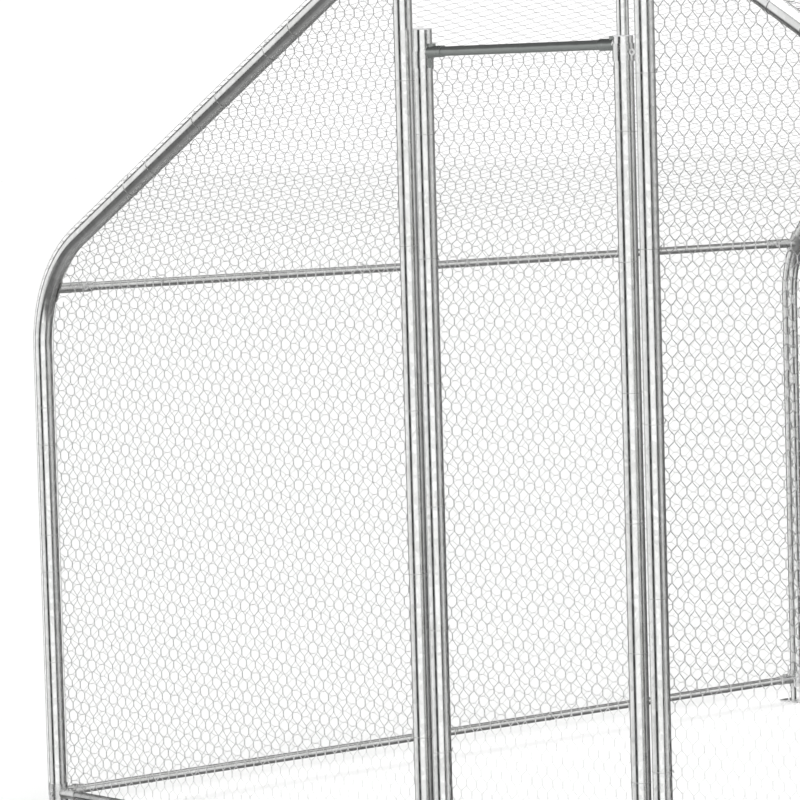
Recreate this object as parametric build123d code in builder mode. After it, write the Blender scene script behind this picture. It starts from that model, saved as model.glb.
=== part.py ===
from build123d import *
import os
from math import atan2, cos, degrees, radians, sin, sqrt, tan

# Walk-in poultry pen: two peaked arches of round galvanised tube, one bay long, joined by
# rails, covered in hexagonal netting, with a netted door hung in the front gable.
# Frame: X across the gable, Y from the front gable to the rear one, Z up, ground at Z = 0.
# All sizes in millimetres.

# ---------------------------------------------------------------- driving dimensions
half_width = 1362.5        # leg axis to the middle plane
half_length = 1000.0       # arch plane to the middle plane
rail_z = 50.0              # axis of the bottom rails
corner_z = 1034.0          # where the leg and rafter axes would meet
apex_z = 1800.0            # where the two rafter axes would meet
eave_z = 1007.0            # axis of the eave rails
eave_radius = 240.0        # bend of the eave elbows, on the tube axis
ridge_radius = 150.0       # bend of the ridge elbows, on the tube axis
elbow_tail = 40.0          # straight end of each elbow

arch_r, arch_bore = 16.0, 14.8      # 32 x 1.2 tube: arches, posts, door stiles
rail_r, rail_bore = 8.0, 6.8        # 16 x 1.2 tube: rails
pivot_r, pivot_bore = 10.0, 8.8     # 20 x 1.2 tube: pivot tube inside the hinge stile
fit_gap = 0.1                       # radial slip of a sleeve on its tube
sleeve_wall = 1.6
boss_r, boss_rise = 6.0, 1.5        # threaded pad for a set screw
bolt_r, bolt_hole_r = 3.0, 3.05
key_r, key_depth = 1.73, 1.6        # hexagon key socket in a set screw, 3 across flats
head_r, head_h = 5.77, 3.5          # hexagon head, 10 across flats
socket_reach = 58.0                 # socket mouth from the axis it stands on
eave_reach = 95.0                   # the same for the longer sockets of the eave rails

post_x = 294.0             # door posts
stile_x = 244.5            # door stiles; the right one is the hinge axis
rear_post_x = 454.0
door_rail_z = 1422.0       # axis of the door's top rail
door_foot_rail_z = 80.0    # axis of the door's bottom rail
stile_foot_z = 60.0
latch_stile_top_z = 1459.0
hinge_stile_top_z = 1434.0
latch_z = 110.0            # axis of the flip-over latch, low on the leaf

net_t = 0.8                # thickness of a netting panel
net_off = 19.5             # netting plane from the tube axes
net_foot_z = 42.0          # lower edge of the netting
net_over = 10.0            # side netting past the arch axis
net_edge = 3.0             # edge of a gable panel from the tube axes, in the plane of the panel
eave_notch, rail_notch, ridge_notch = 28.0, 14.0, 26.0     # cut-outs in the gable panels round the rail connectors
panel_gap = 0.6            # slit between the flat panels of one sheet

foot_side, foot_t, peg_r, peg_off = 60.0, 3.0, 4.2, 20.0
spigot_r, spigot_bore, spigot_half = 14.7, 13.0, 35.0
screw_at, screw_r, screw_hole_r = 18.0, 2.0, 2.1
saddle_half, saddle_screw_at, saddle_from = 20.0, 16.0, 7.0     # eave saddle: half length, screws from its middle, inner edge from the arch axis

os.makedirs("parts", exist_ok=True)

# ---------------------------------------------------------------- derived geometry
pitch = atan2(apex_z - corner_z, half_width)          # roof pitch
cp, sp, tp = cos(pitch), sin(pitch), tan(pitch)
eave_run = eave_radius * tan((radians(90) - pitch) / 2)
ridge_run = ridge_radius * tan(pitch)
leg_top_z = corner_z - eave_run - elbow_tail
bend_x, bend_z = half_width - eave_radius, corner_z - eave_run     # centre of an eave bend (right side)
ridge_bend_z = apex_z - ridge_radius / cp                           # centre of the ridge bend
ridge_z = ridge_bend_z + ridge_radius                               # ridge tube axis
eave_turn = atan2(eave_z - bend_z, sqrt(eave_radius**2 - (eave_z - bend_z) ** 2))
eave_x = bend_x + eave_radius * cos(eave_turn)                      # axis of an eave rail
front_y, rear_y = -half_length, half_length

UP, DOWN = Vector(0, 0, 1), Vector(0, 0, -1)
EAST, WEST = Vector(1, 0, 0), Vector(-1, 0, 0)
NORTH, SOUTH = Vector(0, 1, 0), Vector(0, -1, 0)

bolts = []      # set screws: (point on the pad's face, outward direction, length)
screws = []     # pan-head screws: (point under the head, outward direction, shank length)


def save(piece, label):
    piece.part.label = label
    export_step(piece.part, f"parts/{label}.step")


def rod(base, way, length, radius, mode=Mode.ADD):
    """A round bar from base along way."""
    with Locations(Plane(origin=base, z_dir=way)):
        Cylinder(radius, length, align=(Align.CENTER, Align.CENTER, Align.MIN), mode=mode)


def bored_boss(axis_point, way, tube_radius, sleeve_radius, rise=boss_rise):
    """A pad on a sleeve, and the place of its set screw."""
    rod(axis_point, way, sleeve_radius + rise, boss_r)
    bolts.append((axis_point + way * (sleeve_radius + rise), way, sleeve_radius + rise - tube_radius - 0.05))


def bolt_bores():
    """Cuts the holes of all set screws placed since the last call."""
    while len(bolts) > bolt_bores.done:
        face, way, shank = bolts[bolt_bores.done]
        rod(face + way * 1.0, way * -1, shank + 1.2, bolt_hole_r, Mode.SUBTRACT)
        bolt_bores.done += 1


bolt_bores.done = 0


def set_screws(label, places):
    """Set screws with a hexagon socket, flush with their pads."""
    with BuildPart() as piece:
        for face, way, length in places:
            rod(face - way * length, way, length, bolt_r)
        with BuildSketch(*[Plane(origin=face, z_dir=way) for face, way, length in places]):
            RegularPolygon(key_r, 6)
        extrude(amount=-key_depth, mode=Mode.SUBTRACT)
    save(piece, label)


def straight_tube(label, start, end, outer, bore, screw_ways=()):
    """A straight tube, with a screw hole at a distance from its start for each entry."""
    axis = end - start
    with BuildPart() as piece:
        with BuildSketch(Plane(origin=start, z_dir=axis)):
            Circle(outer)
            Circle(bore, mode=Mode.SUBTRACT)
        extrude(amount=axis.length)
        for at, way in screw_ways:
            rod(start + axis.normalized() * at, way, outer + 2, screw_hole_r, Mode.SUBTRACT)
            screws.append((start + axis.normalized() * at + way * outer, way, 3.4))
    save(piece, label)


def bent_tube(label, start, corner, end, radius, outer, bore, screw_ways, holes=()):
    """A tube bent once, straight at both ends, with a screw hole near each end and others where asked."""
    with BuildPart() as piece:
        with BuildLine() as path:
            FilletPolyline(start, corner, end, radius=radius)
        with BuildSketch(Plane(origin=start, z_dir=corner - start)):
            Circle(outer)
            Circle(bore, mode=Mode.SUBTRACT)
        sweep(path=path.wire())
        for tip, way in zip((start, end), screw_ways):
            spot = tip + (corner - tip).normalized() * screw_at
            rod(spot, way, outer + 2, screw_hole_r, Mode.SUBTRACT)
            screws.append((spot + way * outer, way, 3.4))
        for spot, way in holes:
            rod(spot, way, outer + 2, screw_hole_r, Mode.SUBTRACT)
    save(piece, label)


# ---------------------------------------------------------------- arches
eave_ring_in, saddle_t = arch_r + 1.0, 1.8
saddle_turn = saddle_screw_at / eave_radius
spigot_spots = []   # (middle of the joint, direction, side of its screws)
saddle_holes = []   # (axis point, direction) of the screws of the eave saddles
for end_name, y, inward in (("front", front_y, NORTH), ("rear", rear_y, SOUTH)):
    for side, s in (("left", -1), ("right", 1)):
        up_slope = Vector(-s * cp, 0, sp)
        off_wall, off_roof = Vector(s, 0, 0), Vector(s * sp, 0, cp)
        corner = Vector(s * half_width, y, corner_z)
        apex = Vector(0, y, apex_z)
        leg_top = Vector(s * half_width, y, leg_top_z)
        rafter_foot = corner + up_slope * (eave_run + elbow_tail)
        rafter_top = apex - up_slope * (ridge_run + elbow_tail)
        leg_foot = Vector(s * half_width, y, foot_t)
        straight_tube(f"{end_name}_{side}_leg", leg_foot, leg_top, arch_r, arch_bore,
                      [((leg_top - leg_foot).length - screw_at, off_wall)])
        seats = [(Vector(s * (bend_x + eave_radius * cos(eave_turn + t)), y, bend_z + eave_radius * sin(eave_turn + t)), inward)
                 for t in (-saddle_turn, saddle_turn)]
        saddle_holes += seats
        bent_tube(f"{end_name}_{side}_eave_elbow", leg_top, corner, rafter_foot,
                  eave_radius, arch_r, arch_bore, (off_wall, off_roof), seats)
        straight_tube(f"{end_name}_{side}_rafter", rafter_foot, rafter_top, arch_r, arch_bore,
                      [(screw_at, off_roof), ((rafter_top - rafter_foot).length - screw_at, off_roof)])
        spigot_spots += [(leg_top, UP, off_wall), (rafter_foot, up_slope, off_roof), (rafter_top, up_slope, off_roof)]
    left_top = Vector(0, y, apex_z) - Vector(cp, 0, sp) * (ridge_run + elbow_tail)
    right_top = Vector(0, y, apex_z) - Vector(-cp, 0, sp) * (ridge_run + elbow_tail)
    bent_tube(f"{end_name}_ridge_elbow", left_top, Vector(0, y, apex_z), right_top,
              ridge_radius, arch_r, arch_bore, (Vector(-sp, 0, cp), Vector(sp, 0, cp)))

# Sleeves inside the butted tube ends
with BuildPart() as tube_spigots:
    for middle, way, out in spigot_spots:
        rod(middle - way * spigot_half, way, 2 * spigot_half, spigot_r)
    for middle, way, out in spigot_spots:
        rod(middle - way * (spigot_half + 1), way, 2 * spigot_half + 2, spigot_bore, Mode.SUBTRACT)
        for step in (-screw_at, screw_at):
            rod(middle + way * step, out, arch_r, screw_hole_r, Mode.SUBTRACT)
save(tube_spigots, "tube_spigots")

# Self-tapping pan-head screws: through tube and spigot, and through the eave saddles
screws += [(spot + way * (eave_ring_in + saddle_t), way, eave_ring_in + saddle_t - arch_bore + 0.8) for spot, way in saddle_holes]
with BuildPart() as frame_screws:
    for face, way, shank in screws:
        rod(face - way * shank, way, shank + 0.1, screw_r)
        rod(face + way * 0.05, way, 2.2, 4.0)
    fillet(frame_screws.edges().filter_by(GeomType.CIRCLE).filter_by(lambda e: abs(e.radius - 4.0) < 0.01
           and any((e.arc_center - (f + w * 2.25)).length < 0.01 for f, w, n in screws)), 1.2)
save(frame_screws, "frame_screws")

# ---------------------------------------------------------------- rails
rail_end = arch_r + 1.0     # a rail stops this far from the axis of the tube it meets
for side, s in (("left", -1), ("right", 1)):
    straight_tube(f"{side}_bottom_rail", Vector(s * half_width, front_y + rail_end, rail_z),
                  Vector(s * half_width, rear_y - rail_end, rail_z), rail_r, rail_bore)
    straight_tube(f"{side}_eave_rail", Vector(s * eave_x, front_y + rail_end + 1, eave_z),
                  Vector(s * eave_x, rear_y - rail_end - 1, eave_z), rail_r, rail_bore)
    straight_tube(f"front_{side}_bottom_rail", Vector(s * (half_width - rail_end), front_y, rail_z),
                  Vector(s * (post_x + rail_end), front_y, rail_z), rail_r, rail_bore)
straight_tube("ridge_rail", Vector(0, front_y + rail_end + 1, ridge_z),
              Vector(0, rear_y - rail_end - 1, ridge_z), rail_r, rail_bore)
straight_tube("rear_bottom_rail", Vector(-half_width + rail_end, rear_y, rail_z),
              Vector(half_width - rail_end, rear_y, rail_z), rail_r, rail_bore)


# ---------------------------------------------------------------- posts
def rafter_axis_z(x):
    return apex_z - abs(x) * tp


def post_top_z(x, radius):
    """Where a post stops under the rafter."""
    return rafter_axis_z(x) - arch_r / cp - radius * tp - 0.8


cap_t = 3.0
for label, x, y, foot in (
    ("latch_side_post", -post_x, front_y, cap_t),
    ("hinge_side_post", post_x, front_y, cap_t),
    ("rear_left_post", -rear_post_x, rear_y, rail_z + rail_r + 2.5),
    ("rear_right_post", rear_post_x, rear_y, rail_z + rail_r + 2.5),
):
    straight_tube(label, Vector(x, y, foot), Vector(x, y, post_top_z(x, arch_r)), arch_r, arch_bore)
straight_tube("door_pivot_tube", Vector(stile_x, front_y, cap_t),
              Vector(stile_x, front_y, post_top_z(stile_x, pivot_r)), pivot_r, pivot_bore)

# ---------------------------------------------------------------- tube connectors
arch_in, arch_out = arch_r + fit_gap, arch_r + fit_gap + sleeve_wall
rail_in, rail_out = rail_r + fit_gap, rail_r + fit_gap + sleeve_wall

# Three-way corner connectors at the legs
with BuildPart() as corner_connectors:
    corners = [(Vector(sx * half_width, y, rail_z), Vector(-sx, 0, 0), inward, inward * -1)
               for sx in (-1, 1) for y, inward in ((front_y, NORTH), (rear_y, SOUTH))]
    for hub, along_x, along_y, out in corners:
        rod(hub + DOWN * 18, UP, 36, arch_out)
        rod(hub, along_x, socket_reach, rail_out)
        rod(hub, along_y, socket_reach, rail_out)
        bored_boss(hub, out, arch_r, arch_out)
        bored_boss(hub + along_x * 38, UP, rail_r, rail_out)
        bored_boss(hub + along_y * 38, UP, rail_r, rail_out)
    for hub, along_x, along_y, out in corners:
        rod(hub + DOWN * 20, UP, 40, arch_in, Mode.SUBTRACT)
        rod(hub, along_x, socket_reach + 1, rail_in, Mode.SUBTRACT)
        rod(hub, along_y, socket_reach + 1, rail_in, Mode.SUBTRACT)
    bolt_bores()
save(corner_connectors, "corner_connectors")

# Connectors on the eave elbows: a saddle on the inner side of the bend and a socket for the eave rail
with BuildPart() as eave_connectors:
    eaves = [(Vector(s * eave_x, y, eave_z), Vector(-s * sin(eave_turn), 0, cos(eave_turn)), inward, Vector(-s, 0, 0))
             for s in (-1, 1) for y, inward in ((front_y, NORTH), (rear_y, SOUTH))]
    for hub, tangent, along_y, inside in eaves:
        rod(hub - tangent * saddle_half, tangent, 2 * saddle_half, eave_ring_in + saddle_t)
    for hub, tangent, along_y, inside in eaves:
        with Locations(Plane(origin=hub + along_y * saddle_from, x_dir=tangent, z_dir=along_y * -1)):
            Box(3 * saddle_half, 3 * saddle_half, 30.0, align=(Align.CENTER, Align.CENTER, Align.MIN), mode=Mode.SUBTRACT)
        rod(hub, along_y, eave_reach, rail_out)
        bored_boss(hub + along_y * 74, inside, rail_r, rail_out)
    for hub, tangent, along_y, inside in eaves:
        rod(hub - tangent * (saddle_half + 1), tangent, 2 * saddle_half + 2, eave_ring_in, Mode.SUBTRACT)
        rod(hub + along_y * 1.0, along_y, eave_reach, rail_in, Mode.SUBTRACT)
    for spot, way in saddle_holes:
        rod(spot, way, eave_ring_in + saddle_t + 2, screw_hole_r, Mode.SUBTRACT)
    bolt_bores()
save(eave_connectors, "eave_connectors")

# Connectors on the ridge elbows
ridge_ring_in = arch_r + 0.9
with BuildPart() as ridge_connectors:
    ridges = [(Vector(0, y, ridge_z), inward, inward * -1) for y, inward in ((front_y, NORTH), (rear_y, SOUTH))]
    for hub, along_y, out in ridges:
        rod(hub + WEST * 15, EAST, 30, ridge_ring_in + 1.5)
        rod(hub, along_y, socket_reach, rail_out)
        bored_boss(hub, out, arch_r, ridge_ring_in + 1.5)
        bored_boss(hub + along_y * 38, DOWN, rail_r, rail_out)
    for hub, along_y, out in ridges:
        rod(hub + WEST * 16, EAST, 32, ridge_ring_in, Mode.SUBTRACT)
        rod(hub, along_y, socket_reach + 1, rail_in, Mode.SUBTRACT)
    bolt_bores()
save(ridge_connectors, "ridge_connectors")

# Clamps that hold the post tops to the rafters
with BuildPart() as post_top_clamps:
    tops = []
    for x, y, radius, out in ((-post_x, front_y, arch_r, SOUTH), (stile_x, front_y, pivot_r, SOUTH), (post_x, front_y, arch_r, SOUTH),
                              (-rear_post_x, rear_y, arch_r, NORTH), (rear_post_x, rear_y, arch_r, NORTH)):
        slope = Vector(cp, 0, sp if x < 0 else -sp)
        tops.append((Vector(x, y, rafter_axis_z(x)), slope, radius, out))
    for hub, slope, radius, out in tops:
        rod(hub - slope * 20, slope, 40, arch_out)
        rod(hub, DOWN, 62, radius + fit_gap + sleeve_wall)
        bored_boss(hub, out, arch_r, arch_out)
        bored_boss(hub + DOWN * 46, out, radius, radius + fit_gap + sleeve_wall)
    for hub, slope, radius, out in tops:
        rod(hub - slope * 30, slope, 60, arch_in, Mode.SUBTRACT)
        rod(hub, DOWN, 63, radius + fit_gap, Mode.SUBTRACT)
    bolt_bores()
save(post_top_clamps, "post_top_clamps")

# Clamps at the post feet: the front ones hold the ends of the front bottom rails, the rear
# ones stand the rear posts on the rear bottom rail
with BuildPart() as post_foot_clamps:
    fronts = [(Vector(s * post_x, front_y, rail_z), Vector(s, 0, 0)) for s in (-1, 1)]
    rears = [Vector(s * rear_post_x, rear_y, rail_z) for s in (-1, 1)]
    for hub, along in fronts:
        rod(hub + DOWN * 18, UP, 36, arch_out)
        rod(hub, along, socket_reach, rail_out)
        bored_boss(hub, SOUTH, arch_r, arch_out)
        bored_boss(hub + along * 38, UP, rail_r, rail_out)
    for hub in rears:
        rod(hub + WEST * 34, EAST, 68, rail_out)
        rod(hub, UP, socket_reach, arch_out)
        bored_boss(hub + EAST * 26, NORTH, rail_r, rail_out)
        bored_boss(hub + UP * 40, NORTH, arch_r, arch_out)
    for hub, along in fronts:
        rod(hub + DOWN * 20, UP, 40, arch_in, Mode.SUBTRACT)
        rod(hub, along, socket_reach + 1, rail_in, Mode.SUBTRACT)
    for hub in rears:
        rod(hub + WEST * 35, EAST, 70, rail_in, Mode.SUBTRACT)
        rod(hub + UP * (rail_r + 2), UP, socket_reach, arch_in, Mode.SUBTRACT)
    bolt_bores()
save(post_foot_clamps, "post_foot_clamps")

# Collar on the pivot tube that carries the door leaf
collar_low, collar_high = stile_foot_z - 16.0, stile_foot_z - 2.6
with BuildPart() as thrust_collar:
    rod(Vector(stile_x, front_y, collar_low), UP, collar_high - collar_low, 16.0)
    middle = Vector(stile_x, front_y, (collar_low + collar_high) / 2)
    bolts.append((middle + SOUTH * 16.0, SOUTH, 16.0 - pivot_r - 0.05))
    rod(Vector(stile_x, front_y, collar_low - 1), UP, 20, pivot_r + 0.1, Mode.SUBTRACT)
    bolt_bores()
    chamfer(thrust_collar.edges().filter_by(GeomType.CIRCLE).filter_by(lambda e: abs(e.radius - 16.0) < 0.01), 1.0)
save(thrust_collar, "thrust_collar")

# The set screws of the frame stop here in the list; those of the door follow
frame_bolts = list(bolts)
set_screws("connector_set_screws", frame_bolts)

# Double-ring brackets that tie the pivot tube to the hinge-side post, above and below the leaf
with BuildPart() as pivot_brackets:
    for low in (14.0, 1520.0):
        with BuildSketch(Plane.XY.offset(low)):
            with Locations((stile_x, front_y)):
                Circle(pivot_r + 3.0)
            with Locations((post_x, front_y)):
                Circle(arch_r + 2.5)
            with Locations(((stile_x + post_x) / 2, front_y)):
                Rectangle(post_x - stile_x, 12.0)
            with Locations((stile_x, front_y)):
                Circle(pivot_r + 0.1, mode=Mode.SUBTRACT)
            with Locations((post_x, front_y)):
                Circle(arch_r + 0.1, mode=Mode.SUBTRACT)
        extrude(amount=14.0)
save(pivot_brackets, "pivot_brackets")

# Foot plates with a stub inside each leg and a hole for a ground peg
with BuildPart() as foot_plates:
    for sx in (-1, 1):
        for sy in (-1, 1):
            with BuildSketch(Plane.XY):
                with Locations((sx * half_width, sy * half_length)):
                    RectangleRounded(foot_side, foot_side, 6.0)
                with Locations((sx * (half_width + peg_off), sy * (half_length + peg_off))):
                    Circle(peg_r, mode=Mode.SUBTRACT)
            extrude(amount=foot_t)
            with BuildSketch(Plane.XY.offset(foot_t)):
                with Locations((sx * half_width, sy * half_length)):
                    Circle(spigot_r)
                    Circle(spigot_bore, mode=Mode.SUBTRACT)
            extrude(amount=22.0)
save(foot_plates, "foot_plates")

# Plastic cups under the front posts and the pivot tube
with BuildPart() as post_foot_caps:
    for x, radius in ((-post_x, arch_r), (post_x, arch_r), (stile_x, pivot_r)):
        rod(Vector(x, front_y, 0), UP, 12.0, radius + 1.5)
    for x, radius in ((-post_x, arch_r), (post_x, arch_r), (stile_x, pivot_r)):
        rod(Vector(x, front_y, cap_t), UP, 12.0, radius + 0.05, Mode.SUBTRACT)
save(post_foot_caps, "post_foot_caps")

# ---------------------------------------------------------------- door leaf
straight_tube("door_hinge_stile", Vector(stile_x, front_y, stile_foot_z),
              Vector(stile_x, front_y, hinge_stile_top_z), arch_r, arch_bore)
straight_tube("door_latch_stile", Vector(-stile_x, front_y, stile_foot_z),
              Vector(-stile_x, front_y, latch_stile_top_z), arch_r, arch_bore)
straight_tube("door_top_rail", Vector(-stile_x + rail_end, front_y, door_rail_z),
              Vector(stile_x - rail_end, front_y, door_rail_z), rail_r, rail_bore)
straight_tube("door_bottom_rail", Vector(-stile_x + rail_end, front_y, door_foot_rail_z),
              Vector(stile_x - rail_end, front_y, door_foot_rail_z), rail_r, rail_bore)

with BuildPart() as door_corner_clamps:
    tees = [(Vector(s * stile_x, front_y, z), Vector(-s, 0, 0), low, high)
            for s in (-1, 1) for z, low, high in ((door_foot_rail_z, 17.0, 17.0), (door_rail_z, 27.0, 1.0))]
    for hub, along, low, high in tees:
        rod(hub + DOWN * low, UP, low + high, arch_out)
        rod(hub, along, 52, rail_out)
        bored_boss(hub + UP * ((high - low) / 2), along * -1, arch_r, arch_out)
        bored_boss(hub + along * 24, UP, rail_r, rail_out, 4.0)
    for hub, along, low, high in tees:
        rod(hub + DOWN * (low + 15), UP, low + high + 30, arch_in, Mode.SUBTRACT)
        rod(hub, along, 53, rail_in, Mode.SUBTRACT)
    bolt_bores()
save(door_corner_clamps, "door_corner_clamps")
set_screws("door_set_screws", bolts[len(frame_bolts):])

# Flanged bushes in the ends of the hinge stile, running on the pivot tube
with BuildPart() as hinge_bushes:
    rod(Vector(stile_x, front_y, stile_foot_z - 2), UP, 2, arch_r)
    rod(Vector(stile_x, front_y, stile_foot_z), UP, 24, arch_bore - 0.05)
    rod(Vector(stile_x, front_y, hinge_stile_top_z), UP, 2, arch_r)
    rod(Vector(stile_x, front_y, hinge_stile_top_z), DOWN, 24, arch_bore - 0.05)
    rod(Vector(stile_x, front_y, stile_foot_z - 3), UP, 30, pivot_r + 0.08, Mode.SUBTRACT)
    rod(Vector(stile_x, front_y, hinge_stile_top_z + 3), DOWN, 30, pivot_r + 0.08, Mode.SUBTRACT)
save(hinge_bushes, "hinge_bushes")

# Plugs in the ends of the latch stile
with BuildPart() as stile_plugs:
    for z, way in ((stile_foot_z, DOWN), (latch_stile_top_z, UP)):
        rod(Vector(-stile_x, front_y, z), way, 2.5, arch_r)
        rod(Vector(-stile_x, front_y, z), way * -1, 15, arch_bore - 0.1)
save(stile_plugs, "stile_plugs")

# ---------------------------------------------------------------- flip-over latch
lean = radians(10)                 # the stored arm leans this far past the vertical, towards the hinge side
arm_len, arm_half, pin_at = 34.0, 8.0, 17.5
arm_way, arm_side = Vector(sin(lean), 0, cos(lean)), Vector(cos(lean), 0, -sin(lean))
stub_face = front_y - 19.5
arm_back, arm_t = front_y - 20.0, 3.5
head_y = front_y - 23.9
stop_r = 2.5
stop_at = arm_way * 9.0 + arm_side * (arm_half + 0.4 + stop_r)
with BuildPart() as latch_bracket:
    rod(Vector(-stile_x, front_y, latch_z - 12), UP, 24, arch_out)
    with Locations((-stile_x, (stub_face + front_y) / 2, latch_z)):
        Box(15.0, front_y - stub_face, 24.0)
    with Locations((-stile_x + 4.0, stub_face + 2.0, latch_z)):
        Box(23.0, 4.0, 24.0)
    fillet(latch_bracket.edges().filter_by(Axis.Y).group_by(Axis.X)[-1], 3.0)
    rod(Vector(-stile_x + stop_at.X, stub_face + 1, latch_z + stop_at.Z), SOUTH, 6.0, stop_r)
    rod(Vector(-stile_x, front_y, latch_z - 14), UP, 28, arch_in, Mode.SUBTRACT)
    rod(Vector(-stile_x, stub_face - 1, latch_z), NORTH, 10, bolt_hole_r, Mode.SUBTRACT)
save(latch_bracket, "latch_bracket")

with BuildPart() as latch_pivot_bolt:
    rod(Vector(-stile_x, front_y - arch_r - 0.1, latch_z), SOUTH, front_y - arch_r - 0.1 - head_y, bolt_r)
    with BuildSketch(Plane(origin=(-stile_x, head_y, latch_z), z_dir=SOUTH)):
        RegularPolygon(head_r, 6)
    extrude(amount=head_h)
save(latch_pivot_bolt, "latch_pivot_bolt")

# The arm is stored upright against the bracket's stop pin
arm_eye = Vector(-stile_x, arm_back, latch_z)
with BuildPart() as latch_arm:
    with BuildSketch(Plane(origin=arm_eye, x_dir=arm_way, z_dir=SOUTH)):
        with Locations((arm_len / 2, 0)):
            SlotCenterToCenter(arm_len, 2 * arm_half)
        Circle(bolt_r + 0.08, mode=Mode.SUBTRACT)
    extrude(amount=arm_t)
    fillet(latch_arm.faces().sort_by(Axis.Y)[0].outer_wire().edges(), 0.8)
    rod(arm_eye + arm_way * pin_at + SOUTH * arm_t, SOUTH, 5.5, 4.5)
    fillet(latch_arm.faces().sort_by(Axis.Y)[0].edges(), 1.2)
save(latch_arm, "latch_arm")

# Fork on the latch-side post that takes the arm
fork_lo, fork_hi = -post_x + 10.0, -post_x + 24.0
floor_z = latch_z - arm_half - 0.6
with BuildPart() as latch_keeper:
    rod(Vector(-post_x, front_y, floor_z - 15), UP, 24, arch_out)
    for y0, y1, z0, z1 in (
        (front_y - 19.5, front_y - 2.0, floor_z - 15, floor_z + 9),
        (front_y - 28.0, front_y - 16.5, floor_z - 3, floor_z),
        (front_y - 28.0, front_y - 25.5, floor_z - 3, floor_z + 11),
        (front_y - 19.5, front_y - 16.5, floor_z - 3, floor_z + 17),
    ):
        with Locations(((fork_lo + fork_hi) / 2, (y0 + y1) / 2, (z0 + z1) / 2)):
            Box(fork_hi - fork_lo, y1 - y0, z1 - z0)
    rod(Vector(-post_x, front_y, floor_z - 30), UP, 60, arch_in, Mode.SUBTRACT)
save(latch_keeper, "latch_keeper")

# ---------------------------------------------------------------- netting panels
roof_drop = net_edge / cp     # vertical distance of a line net_edge below the rafter axis
front_net_y, rear_net_y = front_y + net_off, rear_y - net_off
inner_bend = eave_radius - net_edge


def gable_edge(s):
    """Points of the netting edge inside one eave bend: on the leg, on the bend, on the rafter."""
    low = Vector(s * (half_width - net_edge), bend_z)
    turn = (radians(90) - pitch)
    mid = Vector(s * (bend_x + inner_bend * cos(turn / 2)), bend_z + inner_bend * sin(turn / 2))
    high = Vector(s * (bend_x + inner_bend * cos(turn)), bend_z + inner_bend * sin(turn))
    return low, mid, high


def roof_edge_z(x):
    return apex_z - roof_drop - abs(x) * tp


for label, s in (("front_left_netting", -1), ("front_right_netting", 1)):
    low, mid, high = gable_edge(s)
    with BuildPart() as panel:
        with BuildSketch(Plane(origin=(0, front_net_y + net_t / 2, 0), x_dir=(1, 0, 0), z_dir=(0, -1, 0))) as outline:
            with BuildLine() as edge:
                Polyline((low.X, low.Y), (low.X, net_foot_z), (s * post_x, net_foot_z),
                         (s * post_x, roof_edge_z(post_x)), (high.X, high.Y))
                ThreePointArc((high.X, high.Y), (mid.X, mid.Y), (low.X, low.Y))
            make_face()
            with Locations((s * eave_x, eave_z)):
                Circle(eave_notch, mode=Mode.SUBTRACT)
            with Locations((s * half_width, rail_z)):
                Circle(rail_notch, mode=Mode.SUBTRACT)
        extrude(amount=net_t)
    save(panel, label)

left_low, left_mid, left_high = gable_edge(-1)
right_low, right_mid, right_high = gable_edge(1)
top_r = ridge_radius - net_edge
top_x, top_z = top_r * sin(pitch), ridge_bend_z + top_r * cos(pitch)
with BuildPart() as rear_netting:
    with BuildSketch(Plane(origin=(0, rear_net_y + net_t / 2, 0), x_dir=(1, 0, 0), z_dir=(0, -1, 0))):
        with BuildLine():
            Polyline((left_low.X, left_low.Y), (left_low.X, net_foot_z), (right_low.X, net_foot_z), (right_low.X, right_low.Y))
            ThreePointArc((right_low.X, right_low.Y), (right_mid.X, right_mid.Y), (right_high.X, right_high.Y))
            Line((right_high.X, right_high.Y), (top_x, top_z))
            ThreePointArc((top_x, top_z), (0, ridge_bend_z + top_r), (-top_x, top_z))
            Line((-top_x, top_z), (left_high.X, left_high.Y))
            ThreePointArc((left_high.X, left_high.Y), (left_mid.X, left_mid.Y), (left_low.X, left_low.Y))
        make_face()
        with Locations((-eave_x, eave_z), (eave_x, eave_z)):
            Circle(eave_notch, mode=Mode.SUBTRACT)
        with Locations((-half_width, rail_z), (half_width, rail_z)):
            Circle(rail_notch, mode=Mode.SUBTRACT)
        with Locations((0, ridge_z)):
            Circle(ridge_notch, mode=Mode.SUBTRACT)
    extrude(amount=net_t)
save(rear_netting, "rear_netting")

with BuildPart() as door_netting:
    with BuildSketch(Plane(origin=(0, front_net_y + net_t / 2, 0), x_dir=(1, 0, 0), z_dir=(0, -1, 0))):
        with Locations((0, (door_foot_rail_z + door_rail_z) / 2)):
            Rectangle(2 * stile_x, door_rail_z - door_foot_rail_z + 14.0)
    extrude(amount=net_t)
save(door_netting, "door_netting")

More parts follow.
